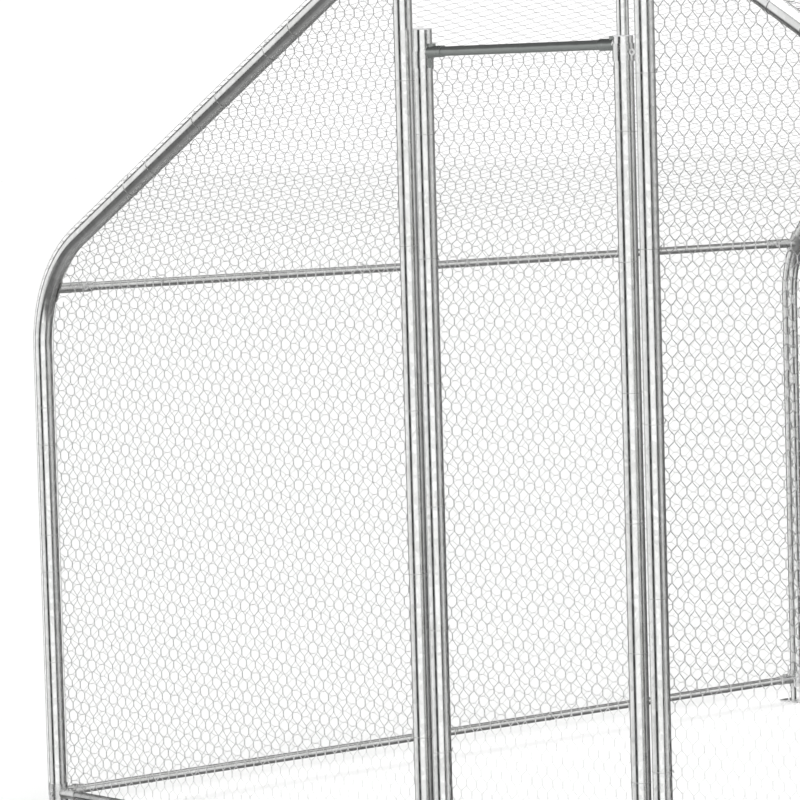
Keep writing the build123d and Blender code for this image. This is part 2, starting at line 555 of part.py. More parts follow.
# Side sheets: wall, three flats round the eave, roof slope and half of the ridge flat
outer_bend, outer_ridge = eave_radius + net_off, ridge_radius + net_off
flats = 4
step = (radians(90) - pitch) / flats
knees = [(bend_x + outer_bend / cos(step / 2) * cos(step * (k + 0.5)),
          bend_z + outer_bend / cos(step / 2) * sin(step * (k + 0.5))) for k in range(flats)]
ridge_knee = (outer_ridge / cos(pitch / 2) * sin(pitch / 2), ridge_bend_z + outer_ridge)
profile = [(half_width + net_off, net_foot_z)] + knees + [ridge_knee, (0.0, ridge_bend_z + outer_ridge)]
for label, s in (("left_side_netting", -1), ("right_side_netting", 1)):
    with BuildPart() as sheet:
        for a, b in zip(profile[:-1], profile[1:]):
            run = Vector(b[0] - a[0], b[1] - a[1])
            along = run.normalized()
            a2 = Vector(*a) + along * (panel_gap if a is not profile[0] else 0)
            b2 = Vector(*b) - along * panel_gap
            flank = Vector(-along.Y, along.X) * (net_t / 2)
            with BuildSketch(Plane(origin=(0, half_length + net_over, 0), x_dir=(1, 0, 0), z_dir=(0, -1, 0))):
                with BuildLine():
                    Polyline(*[(s * p.X, p.Y) for p in (a2 + flank, b2 + flank, b2 - flank, a2 - flank)], close=True)
                make_face()
            extrude(amount=2 * (half_length + net_over))
    save(sheet, label)

print("roof pitch", round(degrees(pitch), 3), "eave bend run", round(eave_run, 2), "ridge axis z", round(ridge_z, 2),
      "eave rail x", round(eave_x, 2), "set screws", len(frame_bolts), len(bolts) - len(frame_bolts), "screws", len(screws))
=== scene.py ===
import math
import bpy
import numpy as np
from mathutils import Matrix, Vector


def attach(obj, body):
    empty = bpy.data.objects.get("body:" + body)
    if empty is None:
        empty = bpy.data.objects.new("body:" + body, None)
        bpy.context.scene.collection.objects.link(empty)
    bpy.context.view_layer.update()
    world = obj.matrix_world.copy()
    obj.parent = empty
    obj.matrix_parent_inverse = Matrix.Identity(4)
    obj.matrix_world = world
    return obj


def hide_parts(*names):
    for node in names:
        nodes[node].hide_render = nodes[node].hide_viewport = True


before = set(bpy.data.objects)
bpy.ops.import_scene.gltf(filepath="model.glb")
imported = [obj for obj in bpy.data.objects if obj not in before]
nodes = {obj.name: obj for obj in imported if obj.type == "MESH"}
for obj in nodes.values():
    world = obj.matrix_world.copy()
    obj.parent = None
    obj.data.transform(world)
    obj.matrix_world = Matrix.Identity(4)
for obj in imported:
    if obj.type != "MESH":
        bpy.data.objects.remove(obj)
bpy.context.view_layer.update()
scene = bpy.context.scene
MM = 0.001

# ------------------------------------------------------------------ the part's main sizes, in mm
HALF_W, HALF_L = 1362.5, 1000.0
CORNER_Z, APEX_Z, RAIL_Z = 1034.0, 1800.0, 50.0
EAVE_R, RIDGE_R = 240.0, 150.0
TUBE_R, RAIL_R = 16.0, 8.0
NET_OFF, NET_FOOT, NET_OVER = 19.5, 42.0, 10.0
NET_EDGE = 3.0
POST_X, STILE_X, REAR_POST_X = 294.0, 244.5, 454.0
PITCH = math.atan2(APEX_Z - CORNER_Z, HALF_W)
CP, SP, TP = math.cos(PITCH), math.sin(PITCH), math.tan(PITCH)
TURN = math.pi / 2 - PITCH
EAVE_RUN = EAVE_R * math.tan(TURN / 2)
RIDGE_RUN = RIDGE_R * TP
BEND_X, BEND_Z = HALF_W - EAVE_R, CORNER_Z - EAVE_RUN
RIDGE_BEND_Z = APEX_Z - RIDGE_R / CP
RIDGE_Z = RIDGE_BEND_Z + RIDGE_R
EAVE_RAIL_Z = 1007.0
EAVE_RAIL_X = BEND_X + math.sqrt(EAVE_R ** 2 - (EAVE_RAIL_Z - BEND_Z) ** 2)
# cut-outs in the gable panels round the rail connectors: x, z and radius
NOTCHES = [(s * EAVE_RAIL_X, EAVE_RAIL_Z, 28.0) for s in (-1, 1)] + [(s * HALF_W, RAIL_Z, 14.0) for s in (-1, 1)]
RIDGE_NOTCH = [(0.0, RIDGE_Z, 26.0)]


# ------------------------------------------------------------------ materials
def new_material(name):
    m = bpy.data.materials.new(name)
    m.use_nodes = True
    nt = m.node_tree
    bsdf = nt.nodes["Principled BSDF"]
    return m, nt, bsdf


def coords(nt, scale=(1, 1, 1)):
    tc = nt.nodes.new("ShaderNodeTexCoord")
    mp = nt.nodes.new("ShaderNodeMapping")
    mp.inputs["Scale"].default_value = scale
    nt.links.new(tc.outputs["Object"], mp.inputs["Vector"])
    return mp.outputs["Vector"]


def ramp(nt, src, stops):
    r = nt.nodes.new("ShaderNodeValToRGB")
    r.color_ramp.elements[0].position, r.color_ramp.elements[0].color = stops[0]
    r.color_ramp.elements[1].position, r.color_ramp.elements[1].color = stops[-1]
    for pos, col in stops[1:-1]:
        e = r.color_ramp.elements.new(pos)
        e.color = col
    nt.links.new(src, r.inputs["Fac"])
    return r.outputs["Color"]


def grey(v, tint=(1, 1, 1)):
    return (v * tint[0], v * tint[1], v * tint[2], 1.0)


def noise(nt, vec, scale, detail=4.0, rough=0.55):
    n = nt.nodes.new("ShaderNodeTexNoise")
    n.inputs["Scale"].default_value = scale
    n.inputs["Detail"].default_value = detail
    n.inputs["Roughness"].default_value = rough
    nt.links.new(vec, n.inputs["Vector"])
    return n.outputs["Fac"]


def mix_colour(nt, mode, fac, a, b):
    x = nt.nodes.new("ShaderNodeMix")
    x.data_type = "RGBA"
    x.blend_type = mode
    if isinstance(fac, float):
        x.inputs[0].default_value = fac
    else:
        nt.links.new(fac, x.inputs[0])
    nt.links.new(a, x.inputs[6])
    nt.links.new(b, x.inputs[7])
    return x.outputs[2]


def galvanised(name, value, spangle=0.07, tint=(1.0, 1.005, 1.0), rough=(0.24, 0.40), cell=95.0, bump=0.05, grime=0.12):
    """Hot-dip zinc: crystal spangle, cloudy patches, fine scratches and a little dulling."""
    m, nt, bsdf = new_material(name)
    vec = coords(nt)
    vor = nt.nodes.new("ShaderNodeTexVoronoi")
    vor.inputs["Scale"].default_value = cell
    nt.links.new(vec, vor.inputs["Vector"])
    bw = nt.nodes.new("ShaderNodeSeparateColor")
    nt.links.new(vor.outputs["Color"], bw.inputs["Color"])
    flakes = ramp(nt, bw.outputs["Red"], [(0.0, grey(value - spangle, tint)), (0.5, grey(value, tint)), (1.0, grey(min(1.0, value + spangle), tint))])
    cloud = noise(nt, vec, 14.0, 5.0, 0.6)
    patches = ramp(nt, cloud, [(0.30, grey(1.0 - grime, (1.0, 1.0, 0.985))), (0.62, grey(1.0))])
    colour = mix_colour(nt, "MULTIPLY", 1.0, flakes, patches)
    nt.links.new(colour, bsdf.inputs["Base Color"])
    fine = noise(nt, coords(nt, (1.0, 1.0, 0.25)), 260.0, 3.0, 0.6)
    rr = ramp(nt, mix_colour(nt, "MIX", 0.5, bw.outputs["Green"], fine), [(0.2, grey(rough[0])), (0.8, grey(rough[1]))])
    nt.links.new(rr, bsdf.inputs["Roughness"])
    bsdf.inputs["Metallic"].default_value = 1.0
    bp = nt.nodes.new("ShaderNodeBump")
    bp.inputs["Strength"].default_value = bump
    bp.inputs["Distance"].default_value = 0.0006
    nt.links.new(fine, bp.inputs["Height"])
    nt.links.new(bp.outputs["Normal"], bsdf.inputs["Normal"])
    return m


def plastic(name, value):
    """Moulded plastic with a fine grain."""
    m, nt, bsdf = new_material(name)
    vec = coords(nt)
    patch = noise(nt, vec, 120.0, 3.0)
    nt.links.new(ramp(nt, patch, [(0.3, grey(value * 0.85)), (0.7, grey(value * 1.2, (1.0, 1.0, 1.02)))]), bsdf.inputs["Base Color"])
    grain = noise(nt, vec, 1800.0, 2.0)
    nt.links.new(ramp(nt, grain, [(0.3, grey(0.42)), (0.7, grey(0.60))]), bsdf.inputs["Roughness"])
    bp = nt.nodes.new("ShaderNodeBump")
    bp.inputs["Strength"].default_value = 0.15
    bp.inputs["Distance"].default_value = 0.0003
    nt.links.new(grain, bp.inputs["Height"])
    nt.links.new(bp.outputs["Normal"], bsdf.inputs["Normal"])
    return m


def painted_shade_zinc(nt, vec):
    """Colour of dull, greenish zinc with painted shade: dark on upward faces, paler below."""
    tc = nt.nodes.new("ShaderNodeTexCoord")
    axes = nt.nodes.new("ShaderNodeSeparateXYZ")
    nt.links.new(tc.outputs["Normal"], axes.inputs["Vector"])
    place = nt.nodes.new("ShaderNodeMapRange")
    place.inputs["From Min"].default_value, place.inputs["From Max"].default_value = -1.0, 1.0
    nt.links.new(axes.outputs["Z"], place.inputs["Value"])
    # painted shade: upward faces dark, downward faces paler, broken up by a noise mottle
    shade_and_mottle = nt.nodes.new("ShaderNodeMath")
    shade_and_mottle.operation = "MULTIPLY_ADD"
    nt.links.new(noise(nt, vec, 38.0, 5.0, 0.6), shade_and_mottle.inputs[0])
    shade_and_mottle.inputs[1].default_value = 0.16
    nt.links.new(place.outputs["Result"], shade_and_mottle.inputs[2])
    tint = (0.94, 1.0, 0.965)
    return ramp(nt, shade_and_mottle.outputs[0], [(0.10, grey(0.22, tint)), (0.40, grey(0.30, tint)), (0.62, grey(0.27, tint)), (0.74, grey(0.075, tint)), (1.0, grey(0.05, tint))])


def painted_shade_zinc_tube(name):
    m, nt, bsdf = new_material(name)
    vec = coords(nt)
    # the base colour carries painted shade: dark on upward faces, paler below
    nt.links.new(painted_shade_zinc(nt, vec), bsdf.inputs["Base Color"])
    fine = noise(nt, vec, 420.0, 4.0, 0.6)
    nt.links.new(ramp(nt, fine, [(0.3, grey(0.42)), (0.7, grey(0.58))]), bsdf.inputs["Roughness"])
    bsdf.inputs["Metallic"].default_value = 0.3
    bp = nt.nodes.new("ShaderNodeBump")
    bp.inputs["Strength"].default_value = 0.12
    bp.inputs["Distance"].default_value = 0.0004
    nt.links.new(fine, bp.inputs["Height"])
    nt.links.new(bp.outputs["Normal"], bsdf.inputs["Normal"])
    return m


def clamp_material(name):
    """Corner clamps of the leaf: bright rings, and at the top dull sockets that carry the rail's painted shade."""
    m = galvanised(name, 0.86, 0.06, rough=(0.16, 0.28), grime=0.12)
    nt = m.node_tree
    bsdf = nt.nodes["Principled BSDF"]
    bright = bsdf.inputs["Base Color"].links[0].from_socket
    vec = coords(nt)
    axes = nt.nodes.new("ShaderNodeSeparateXYZ")
    nt.links.new(vec, axes.inputs["Vector"])
    reach = nt.nodes.new("ShaderNodeMath")
    reach.operation = "ABSOLUTE"
    nt.links.new(axes.outputs["X"], reach.inputs[0])
    inner = nt.nodes.new("ShaderNodeMath")
    inner.operation = "LESS_THAN"
    nt.links.new(reach.outputs[0], inner.inputs[0])
    inner.inputs[1].default_value = 0.2272
    high = nt.nodes.new("ShaderNodeMath")
    high.operation = "GREATER_THAN"
    nt.links.new(axes.outputs["Z"], high.inputs[0])
    high.inputs[1].default_value = 1.0
    mask = nt.nodes.new("ShaderNodeMath")
    mask.operation = "MULTIPLY"
    nt.links.new(inner.outputs[0], mask.inputs[0])
    nt.links.new(high.outputs[0], mask.inputs[1])
    # painted shade: the top sockets get the rail's colour, dark on upward faces, paler below
    nt.links.new(mix_colour(nt, "MIX", mask.outputs[0], bright, painted_shade_zinc(nt, vec)), bsdf.inputs["Base Color"])
    metal = nt.nodes.new("ShaderNodeMapRange")
    metal.inputs["To Min"].default_value, metal.inputs["To Max"].default_value = 1.0, 0.3
    nt.links.new(mask.outputs[0], metal.inputs["Value"])
    nt.links.new(metal.outputs["Result"], bsdf.inputs["Metallic"])
    return m


def netting_material(name, dull, slope, low_from, low_to, twist=0.86):
    """Wire of the gable panels, with painted light and shade: the twists painted lighter than the strands, painted
    shade on the inner faces, and painted light that makes the part near the ground the brightest.

    slope is how fast the bright part climbs along +X."""
    m, nt, bsdf = new_material(name)
    vec = coords(nt)
    part = nt.nodes.new("ShaderNodeAttribute")
    part.attribute_name = "tone"
    axes = nt.nodes.new("ShaderNodeSeparateXYZ")
    nt.links.new(vec, axes.inputs["Vector"])
    # painted light: near the ground, rising along +X, the wire is painted near white and loses its metal
    low = nt.nodes.new("ShaderNodeMapRange")
    low.interpolation_type = "SMOOTHSTEP"
    low.inputs["From Min"].default_value, low.inputs["From Max"].default_value = low_from, low_to
    low.inputs["To Min"].default_value, low.inputs["To Max"].default_value = 1.0, 0.0
    climb = nt.nodes.new("ShaderNodeMath")
    climb.operation = "MULTIPLY_ADD"
    nt.links.new(axes.outputs["X"], climb.inputs[0])
    climb.inputs[1].default_value = -slope
    nt.links.new(axes.outputs["Z"], climb.inputs[2])
    nt.links.new(climb.outputs[0], low.inputs["Value"])
    # painted shade: wire faces turned to +Y, the inner side, are painted dark
    tc = nt.nodes.new("ShaderNodeTexCoord")
    facing = nt.nodes.new("ShaderNodeSeparateXYZ")
    nt.links.new(tc.outputs["Normal"], facing.inputs["Vector"])
    inner = nt.nodes.new("ShaderNodeMapRange")
    inner.interpolation_type = "SMOOTHSTEP"
    inner.inputs["From Min"].default_value, inner.inputs["From Max"].default_value = 0.20, 0.55
    nt.links.new(facing.outputs["Y"], inner.inputs["Value"])
    # painted light and shade: the twists are painted lighter than the strands of the same wire
    front = ramp(nt, part.outputs["Fac"], [(0.0, grey(dull)), (0.72, grey(dull)), (0.95, grey(twist)), (1.0, grey(twist))])
    rear = ramp(nt, noise(nt, vec, 40.0, 4.0), [(0.3, grey(0.26)), (0.7, grey(0.36))])
    strands = mix_colour(nt, "MIX", inner.outputs["Result"], front, rear)
    patches = ramp(nt, noise(nt, vec, 30.0, 4.0), [(0.3, grey(0.90)), (0.7, grey(1.0))])
    bright = ramp(nt, noise(nt, vec, 60.0, 4.0), [(0.3, grey(0.95)), (0.7, grey(0.99))])
    shade_and_mottle = mix_colour(nt, "MULTIPLY", 1.0, strands, patches)
    nt.links.new(mix_colour(nt, "MIX", low.outputs["Result"], shade_and_mottle, bright), bsdf.inputs["Base Color"])
    metal = nt.nodes.new("ShaderNodeMapRange")
    metal.inputs["To Min"].default_value, metal.inputs["To Max"].default_value = 0.55, 0.0
    nt.links.new(low.outputs["Result"], metal.inputs["Value"])
    nt.links.new(metal.outputs["Result"], bsdf.inputs["Metallic"])
    nt.links.new(ramp(nt, noise(nt, vec, 300.0, 3.0), [(0.3, grey(0.38)), (0.7, grey(0.52))]), bsdf.inputs["Roughness"])
    return m


def sheet_material(name, out):
    """Wire of a side sheet that faces out (+1 or -1 along X): pale inside, painted paler still on the roof as painted
    light, and painted shade on its outer and upward faces.
    """
    m = galvanised(name, 0.90, 0.05, rough=(0.36, 0.52), cell=120.0, bump=0.0, grime=0.06)
    nt = m.node_tree
    bsdf = nt.nodes["Principled BSDF"]
    wall = bsdf.inputs["Base Color"].links[0].from_socket
    vec = coords(nt)
    axes = nt.nodes.new("ShaderNodeSeparateXYZ")
    nt.links.new(vec, axes.inputs["Vector"])
    # painted light: on the roof part the wire is painted paler and less metallic
    roof = nt.nodes.new("ShaderNodeMapRange")
    roof.interpolation_type = "SMOOTHSTEP"
    roof.inputs["From Min"].default_value, roof.inputs["From Max"].default_value = 1.10, 1.32
    nt.links.new(axes.outputs["Z"], roof.inputs["Value"])
    pale = ramp(nt, noise(nt, vec, 60.0, 4.0), [(0.3, grey(0.93)), (0.7, grey(0.98))])
    # painted shade: wire faces turned outward and upward are painted dark
    tc = nt.nodes.new("ShaderNodeTexCoord")
    facing = nt.nodes.new("ShaderNodeVectorMath")
    facing.operation = "DOT_PRODUCT"
    nt.links.new(tc.outputs["Normal"], facing.inputs[0])
    facing.inputs[1].default_value = (out * 0.80, 0.0, 0.60)
    outer = nt.nodes.new("ShaderNodeMapRange")
    outer.interpolation_type = "SMOOTHSTEP"
    outer.inputs["From Min"].default_value, outer.inputs["From Max"].default_value = 0.30, 0.62
    nt.links.new(facing.outputs["Value"], outer.inputs["Value"])
    dull = ramp(nt, noise(nt, vec, 40.0, 4.0), [(0.3, grey(0.20)), (0.7, grey(0.30))])
    inner = mix_colour(nt, "MIX", roof.outputs["Result"], wall, pale)
    nt.links.new(mix_colour(nt, "MIX", outer.outputs["Result"], inner, dull), bsdf.inputs["Base Color"])
    metal = nt.nodes.new("ShaderNodeMapRange")
    metal.inputs["To Min"].default_value, metal.inputs["To Max"].default_value = 0.40, 0.10
    nt.links.new(roof.outputs["Result"], metal.inputs["Value"])
    nt.links.new(metal.outputs["Result"], bsdf.inputs["Metallic"])
    return m


mat_tube = galvanised("galvanised_tube", 0.88, 0.06, rough=(0.15, 0.27), grime=0.10)
# the door's top rail: dull zinc with painted shade on its upward faces
mat_rail = painted_shade_zinc_tube("door_rail_tube")
mat_fit = galvanised("galvanised_fittings", 0.78, 0.05, rough=(0.24, 0.38), cell=160.0, bump=0.10, grime=0.15)
mat_clamp = clamp_material("door_clamp_fittings")
mat_bolt = galvanised("zinc_fasteners", 0.66, 0.04, (1.0, 1.0, 1.01), (0.20, 0.34), 300.0)
mat_wire = galvanised("netting_wire", 0.80, 0.06, rough=(0.36, 0.52), cell=120.0, bump=0.0)
mat_wire.node_tree.nodes["Principled BSDF"].inputs["Metallic"].default_value = 0.55
mat_side = {-1: sheet_material("left_side_wire", -1.0), 1: sheet_material("right_side_wire", 1.0)}
mat_rear = galvanised("rear_wire", 0.34, 0.05, rough=(0.36, 0.52), cell=120.0, bump=0.0)
mat_rear.node_tree.nodes["Principled BSDF"].inputs["Metallic"].default_value = 0.55
mat_gable = netting_material("gable_wire", 0.78, 0.206, 0.290, 0.330)
mat_gable_left = netting_material("gable_wire_left", 0.78, 0.206, 0.290, 0.330)
# painted shade: the right front panel's strands are painted darker than the left panel's same wire
mat_gable_right = netting_material("gable_wire_right", 0.46, 0.206, 0.270, 0.330)
mat_tie = galvanised("tie_wire", 0.60, 0.05, rough=(0.30, 0.44), cell=260.0, bump=0.0)
mat_foot = galvanised("foot_rail_tube", 0.50, 0.06, rough=(0.18, 0.30), grime=0.25)
mat_black = plastic("black_plastic", 0.035)
mat_pale = plastic("grey_plastic", 0.62)

BLACK = {"post_foot_caps"}
PALE = {"hinge_bushes", "stile_plugs"}
FIXED = {"connector_set_screws", "door_set_screws", "frame_screws", "latch_pivot_bolt"}
FITTED = {"corner_connectors", "eave_connectors", "foot_plates", "latch_arm", "latch_bracket", "latch_keeper",
          "pivot_brackets", "post_foot_clamps", "post_top_clamps", "ridge_connectors", "thrust_collar", "tube_spigots"}
FEET = {"front_left_bottom_rail", "front_right_bottom_rail"}
for n, o in nodes.items():
    mat = (mat_black if n in BLACK else mat_pale if n in PALE else mat_bolt if n in FIXED else mat_fit if n in FITTED
           else mat_clamp if n == "door_corner_clamps" else mat_wire if "netting" in n
           else mat_rail if n == "door_top_rail" else mat_foot if n in FEET else mat_tube)
    o.data.materials.clear()
    o.data.materials.append(mat)


# ------------------------------------------------------------------ wire meshes
def wire_mesh(name, centre, tangent, side, radius, links, sides=3, smooth=True, tone=None):
    """A mesh of round wires: one ring of vertices per row of centre, a tube per pair in links, and a cap on each free end."""
    used = np.unique(links)
    back = np.full(len(centre), -1)
    back[used] = np.arange(len(used))
    c, t, s = centre[used], tangent[used], side[used]
    links = back[links]
    t = t / np.linalg.norm(t, axis=1, keepdims=True)
    a = s - (s * t).sum(1, keepdims=True) * t
    a /= np.linalg.norm(a, axis=1, keepdims=True)
    b = np.cross(t, a)
    r = radius[used] if isinstance(radius, np.ndarray) else np.full(len(used), radius)
    ang = 2 * np.pi * np.arange(sides) / sides
    ring = c[:, None, :] + r[:, None, None] * (np.cos(ang)[None, :, None] * a[:, None, :] + np.sin(ang)[None, :, None] * b[:, None, :])
    verts = ring.reshape(-1, 3)
    k = np.arange(sides)
    lo, hi = links[:, :1] * sides, links[:, 1:] * sides
    quads = np.stack([lo + k, lo + (k + 1) % sides, hi + (k + 1) % sides, hi + k], -1).reshape(-1, 4)
    starts, ends = np.bincount(links[:, 0], minlength=len(c)), np.bincount(links[:, 1], minlength=len(c))
    cap_lo = np.flatnonzero((starts > 0) & (ends == 0))
    cap_hi = np.flatnonzero((ends > 0) & (starts == 0))
    caps = np.concatenate([cap_lo[:, None] * sides + k[::-1], cap_hi[:, None] * sides + k])
    mesh = bpy.data.meshes.new(name)
    loops = np.concatenate([quads.ravel(), caps.ravel()]).astype(np.int32)
    sizes = np.concatenate([np.full(len(quads), 4), np.full(len(caps), sides)]).astype(np.int32)
    mesh.vertices.add(len(verts))
    mesh.vertices.foreach_set("co", verts.astype(np.float32).ravel())
    mesh.loops.add(len(loops))
    mesh.loops.foreach_set("vertex_index", loops)
    mesh.polygons.add(len(sizes))
    mesh.polygons.foreach_set("loop_start", np.concatenate([[0], np.cumsum(sizes)[:-1]]).astype(np.int32))
    mesh.polygons.foreach_set("loop_total", sizes)
    mesh.update(calc_edges=True)
    mesh.validate()
    if tone is not None:
        mesh.attributes.new("tone", "FLOAT", "POINT").data.foreach_set("value", np.repeat(tone[used], sides).astype(np.float32))
    if smooth:
        mesh.shade_smooth()
    obj = bpy.data.objects.new(name, mesh)
    scene.collection.objects.link(obj)
    return obj


def bake_map(obj, u_axis, v_axis):
    """A flat map for the wires: their place on the sheet."""
    mesh = obj.data
    co = np.zeros(len(mesh.vertices) * 3, np.float32)
    mesh.vertices.foreach_get("co", co)
    co = co.reshape(-1, 3)
    u, v = co @ np.array(u_axis, np.float32), co @ np.array(v_axis, np.float32)
    u, v = (u - u.min()) / max(1e-6, np.ptp(u)), (v - v.min()) / max(1e-6, np.ptp(v))
    idx = np.zeros(len(mesh.loops), np.int32)
    mesh.loops.foreach_get("vertex_index", idx)
    layer = mesh.uv_layers.new(name="OFBake")
    layer.data.foreach_set("uv", np.stack([u[idx], v[idx]], 1).astype(np.float32).ravel())


def finish_piece(obj, body, material, replaced=()):
    obj.data.materials.append(material)
    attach(obj, body)
    if replaced:
        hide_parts(*replaced)
    return obj


# ------------------------------------------------------------------ hexagonal netting
# pitch across the twists, pitch along them, length of a twist: gable panels are pulled wide, side sheets long
GABLE_MESH, SIDE_MESH = (25.4, 20.6, 11.0), (22.6, 24.8, 10.6)
STRAND = 0.66
RINGS = 5


def hexagons(u0, u1, v0, v1, P, Q, seed):
    """Lattice of twists over a sheet: u across the twists, v along them. Returns arrays for rows and columns."""
    rows = int(math.ceil((v1 - v0) / Q)) + 2
    cols = int(math.ceil((u1 - u0) / P)) + 2
    k, j = np.meshgrid(np.arange(rows), np.arange(cols), indexing="ij")
    rng = np.random.default_rng(seed)
    u = u0 - 0.5 * P + (j + 0.5 * (k % 2)) * P + rng.normal(0, 0.45, k.shape)
    v = v0 - 0.5 * Q + k * Q + rng.normal(0, 0.45, k.shape)
    return k, j, u, v


def netting(name, body, outline, place, normal, seed, bulge, parts, replaced, bake_axes, split, mesh, wire_r, material, notches=()):
    """Wires of one netting sheet, cut to a convex outline given in sheet coordinates, in mm.

    place(u, v, w) gives the point in mm, w off the sheet; normal(u, v) the sheet's normal."""
    P, Q, TWIST = mesh
    poly = np.array(outline, float)
    k, j, u, v = hexagons(poly[:, 0].min(), poly[:, 0].max(), poly[:, 1].min(), poly[:, 1].max(), P, Q, seed)
    rows, cols = k.shape
    nxt = np.roll(poly, -1, 0)
    if np.sum(poly[:, 0] * nxt[:, 1] - nxt[:, 0] * poly[:, 1]) < 0:
        poly = poly[::-1]
        nxt = np.roll(poly, -1, 0)
    edge = nxt - poly
    inward = np.stack([-edge[:, 1], edge[:, 0]], 1) / np.linalg.norm(edge, axis=1)[:, None]
    offs = (inward * poly).sum(1)

    def depth(uu, vv):
        """Distance inside the outline, negative outside."""
        return (uu[..., None] * inward[:, 0] + vv[..., None] * inward[:, 1] - offs).min(-1)

    inside = (depth(u, v - TWIST / 2) > 0.2) & (depth(u, v + TWIST / 2) > 0.2)
    step = np.arange(RINGS) / (RINGS - 1)
    alpha = 2 * np.pi * step
    # ring places: (row, column, strand, ring)
    su = u[:, :, None, None] + STRAND * np.stack([np.cos(alpha), -np.cos(alpha)])[None, None]
    sv = (v[:, :, None, None] + TWIST * (step - 0.5)) * np.ones((1, 1, 2, 1))
    sw = STRAND * np.stack([np.sin(alpha), -np.sin(alpha)])[None, None] * np.ones((rows, cols, 1, 1))
    du = STRAND * 2 * np.pi / TWIST * np.stack([-np.sin(alpha), np.sin(alpha)])[None, None] * np.ones((rows, cols, 1, 1))
    dw = STRAND * 2 * np.pi / TWIST * np.stack([np.cos(alpha), -np.cos(alpha)])[None, None] * np.ones((rows, cols, 1, 1))
    dv = np.ones_like(du)
    lean = 0.42
    du[:, :, 0, 0] -= lean; du[:, :, 1, 0] += lean
    du[:, :, 0, -1] += lean; du[:, :, 1, -1] -= lean
    ring_id = np.arange(rows * cols * 2 * RINGS).reshape(rows, cols, 2, RINGS)
    links, owner = [], []
    keep = np.argwhere(inside)
    for r in range(RINGS - 1):
        a = ring_id[keep[:, 0], keep[:, 1], :, r].ravel()
        b = ring_id[keep[:, 0], keep[:, 1], :, r + 1].ravel()
        links.append(np.stack([a, b], 1))
    extra_u, extra_v = [], []
    extra_id = ring_id.size
    extra_du = []
    for strand, shift in ((0, 1), (1, -1)):
        # strand 0 leaves up and to the right, strand 1 up and to the left
        kk, jj = np.meshgrid(np.arange(rows - 1), np.arange(cols), indexing="ij")
        j2 = jj + np.where(kk % 2 == 1, (1 if shift > 0 else 0), (0 if shift > 0 else -1))
        ok = (j2 >= 0) & (j2 < cols)
        kk, jj, j2 = kk[ok], jj[ok], j2[ok]
        ia, ib = inside[kk, jj], inside[kk + 1, j2]
        both = ia & ib
        first, last = ring_id[kk[both], jj[both], strand, RINGS - 1], ring_id[kk[both] + 1, j2[both], 1 - strand, 0]
        ids = extra_id + np.arange(len(first))
        extra_id += len(first)
        extra_u.append(0.5 * (su.ravel()[first] + su.ravel()[last])); extra_v.append(0.5 * (sv.ravel()[first] + sv.ravel()[last]))
        extra_du.append(np.full(len(first), (P / 2) / (Q - TWIST) * shift))
        links += [np.stack([first, ids], 1), np.stack([ids, last], 1)]
        for mine, sel in ((True, ia & ~ib), (False, ib & ~ia)):
            if not sel.any():
                continue
            ua, va = su[kk[sel], jj[sel], strand, RINGS - 1], sv[kk[sel], jj[sel], strand, RINGS - 1]
            ub, vb = su[kk[sel] + 1, j2[sel], 1 - strand, 0], sv[kk[sel] + 1, j2[sel], 1 - strand, 0]
            if not mine:
                ua, va, ub, vb = ub, vb, ua, va
            fa = ua[:, None] * inward[:, 0] + va[:, None] * inward[:, 1] - offs
            fb = ub[:, None] * inward[:, 0] + vb[:, None] * inward[:, 1] - offs
            with np.errstate(divide="ignore", invalid="ignore"):
                cut = np.where(fb < 0, fa / (fa - fb), 1.0).min(1)
            good = cut > 0.06
            uu, vv = (ua + (ub - ua) * cut)[good], (va + (vb - va) * cut)[good]
            ids = extra_id + np.arange(len(uu))
            extra_id += len(uu)
            extra_u.append(uu); extra_v.append(vv)
            extra_du.append(np.full(len(uu), (P / 2) / (Q - TWIST) * shift))
            if mine:
                links.append(np.stack([ring_id[kk[sel], jj[sel], strand, RINGS - 1][good], ids], 1))
            else:
                links.append(np.stack([ids, ring_id[kk[sel] + 1, j2[sel], 1 - strand, 0][good]], 1))
    all_u = np.concatenate([su.ravel()] + extra_u)
    all_v = np.concatenate([sv.ravel()] + extra_v)
    all_w = np.concatenate([sw.ravel(), np.zeros(extra_id - ring_id.size)])
    all_du = np.concatenate([du.ravel()] + extra_du)
    all_dv = np.concatenate([dv.ravel(), np.ones(extra_id - ring_id.size)])
    all_dw = np.concatenate([dw.ravel(), np.zeros(extra_id - ring_id.size)])
    tone = np.concatenate([np.ones(ring_id.size), np.zeros(extra_id - ring_id.size)])
    links = np.concatenate(links)
    for nu, nv, nr in notches:
        clear = np.hypot(all_u - nu, all_v - nv) > nr
        links = links[clear[links[:, 0]] & clear[links[:, 1]]]
